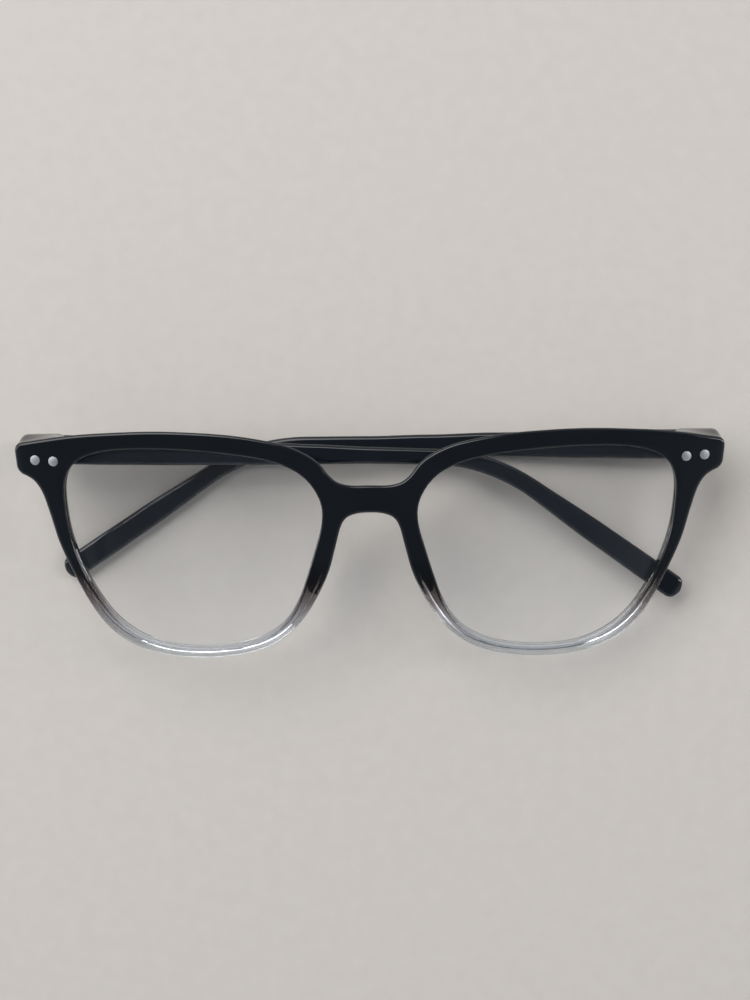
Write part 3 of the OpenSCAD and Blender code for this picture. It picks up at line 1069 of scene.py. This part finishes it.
def pad_mesh(around=40, down=24):
    """Points and faces of the left pad, cut off by the front's face."""
    points, faces = [], []
    lean = PAD_CROWN - PAD_FOOT
    for j in range(down + 1):
        a = math.pi * j / down
        for k in range(around):
            b = 2 * math.pi * k / around
            way = Vector((math.sin(a) * math.cos(b), math.cos(a), math.sin(a) * math.sin(b)))
            egg = Vector((way.x * PAD_R.x, way.y * PAD_R.y, way.z * PAD_R.z))
            normal = Vector((way.x / PAD_R.x, way.y / PAD_R.y, way.z / PAD_R.z)).normalized()
            share = smooth_step(-PAD_BLEND, PAD_BLEND, (PAD_SLANT @ normal).dot(lean.normalized()))
            p = PAD_SLANT @ egg + PAD_FOOT + lean * share
            p.z = min(p.z, face_z(p.x, FRONT_T) - SHOW)
            points.append(tuple(p))
    for j in range(down):
        for k in range(around):
            a, b = j * around + k, j * around + (k + 1) % around
            faces.append([a, b, b + around, a + around])
    return points, faces


for side in (RIGHT, LEFT):
    name = SIDE_NAME[side]
    points, faces = pad_mesh()
    pad = solid(f"{name}_pad", [(side * x, y, z) for x, y, z in points], faces, ON_FRONT)
    tidy_mesh(pad, distance=1e-6)
    pad.data.materials.append(DYED)
    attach(pad, "front")
    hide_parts(f"{name}_nose_pad")

# %% [markdown]
# ## Studs
# Two small domed rivets sit in each endpiece. They are the same thing four times over, so one
# geometry rule makes a stud and puts a copy on each point, turned to the face's own direction.

# %% Stud rule
STUD_R, STUD_DEPTH = 0.97, 2.0
STUD_EDGE, STUD_DOME = 0.03, 0.09
STUD_PLACES = [(66.7, 16.1), (63, 15.9)]
# A height times this, clamped, is 1 on the drum's top and 0 below its middle
STEEP = 1e6


def stud_rule():
    """A tree that puts a domed stud on every point, with its sizes as named inputs."""
    tree = bpy.data.node_groups.new("stud_rule", "GeometryNodeTree")
    tree.interface.new_socket("Geometry", in_out="OUTPUT", socket_type="NodeSocketGeometry")
    for name, kind in (("Points", "Geometry"), ("Radius", "Float"), ("Depth", "Float"),
                       ("Dome", "Float"), ("Metal", "Material")):
        tree.interface.new_socket(name, in_out="INPUT", socket_type="NodeSocket" + kind)
    graph = Graph(tree, "NodeGroupOutput")
    given = graph.add("NodeGroupInput")
    drum = graph.add("GeometryNodeMeshCylinder", {"fill_type": "TRIANGLE_FAN"}, {
        "Vertices": 48, "Side Segments": 2, "Fill Segments": 8, "Radius": given["Radius"],
        "Depth": given["Depth"]})
    place = graph.add("ShaderNodeSeparateXYZ", {}, {0: graph.add("GeometryNodeInputPosition")[0]})
    away = (place[0] * place[0] + place[1] * place[1]) / (given["Radius"] * given["Radius"])
    on_top = (place[2] * STEEP).clamped()
    rise = given["Dome"] * (1.0 - away) * on_top
    domed = graph.add("GeometryNodeSetPosition", {}, {
        "Geometry": drum[0], "Offset": graph.add("ShaderNodeCombineXYZ", {}, {2: rise})[0]})
    normal = graph.add("GeometryNodeInputNamedAttribute", {"data_type": "FLOAT_VECTOR"}, {
        "Name": "out_of_face"})
    turned = graph.add("FunctionNodeAlignRotationToVector", {"axis": "Z"}, {"Vector": normal[0]})
    copies = graph.add("GeometryNodeInstanceOnPoints", {}, {
        "Points": given["Points"], "Instance": domed[0], "Rotation": turned[0]})
    real = graph.add("GeometryNodeRealizeInstances", {}, {0: copies[0]})
    graph.finish(graph.add("GeometryNodeSetMaterial", {}, {
        "Geometry": real[0], "Material": given["Metal"]})[0])
    return tree


RULE = stud_rule()
print("stud rule:", len(RULE.nodes), "nodes")

# %% [markdown]
# ## Setting the studs
# The rule needs one point for each stud, sunk by half its length, and the direction out of the
# face there, kept on the points as an attribute. Its result becomes a plain mesh.

# %% Place the studs
def stud_points():
    """Middle of each stud, and the face's direction there once the front is placed."""
    middles, directions = [], []
    for side in (RIGHT, LEFT):
        for x, y in STUD_PLACES:
            lean = math.asin(side * x / WRAP_R)
            normal = Vector((math.sin(lean), 0, math.cos(lean)))
            on_face = Vector((side * x, y, face_z(x)))
            middles.append(on_face + normal * (STUD_EDGE - STUD_DEPTH / 2))
            directions.append((ON_FRONT.to_3x3() @ normal).normalized())
    return middles, directions


def apply_rule(piece, rule, values):
    """Puts a geometry rule on a piece, fills its inputs, and keeps the mesh it makes."""
    modifier = piece.modifiers.new(rule.name, "NODES")
    modifier.node_group = rule
    for item in rule.interface.items_tree:
        if item.in_out == "INPUT" and item.name in values:
            modifier[item.identifier] = values[item.name]
    made = piece.evaluated_get(bpy.context.evaluated_depsgraph_get())
    plain = bpy.data.meshes.new_from_object(made)
    piece.modifiers.clear()
    piece.data = plain


middles, directions = stud_points()
studs = solid("endpiece_studs", middles, [], ON_FRONT)
out_of_face = studs.data.attributes.new("out_of_face", "FLOAT_VECTOR", "POINT")
for item, direction in zip(out_of_face.data, directions):
    item.vector = direction
apply_rule(studs, RULE, {"Radius": STUD_R * MM, "Depth": STUD_DEPTH * MM,
                         "Dome": STUD_DOME * MM, "Metal": STUD_METAL})
tidy_mesh(studs)
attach(studs, "front")
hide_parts("right_outer_stud", "right_inner_stud", "left_outer_stud", "left_inner_stud")

# %% [markdown]
# ## Hinges, screws and wires
# The hinge leaves, screws and core wires keep their construction shapes, which are exact, and only
# get their metal.

# %% Metal of the construction's own pieces
for node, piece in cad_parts.items():
    finish = WIRE_METAL if "wire" in node else HINGE_METAL if "hinge" in node else None
    if finish:
        piece.data.materials.clear()
        piece.data.materials.append(finish)
        print(node, "gets", finish.name)
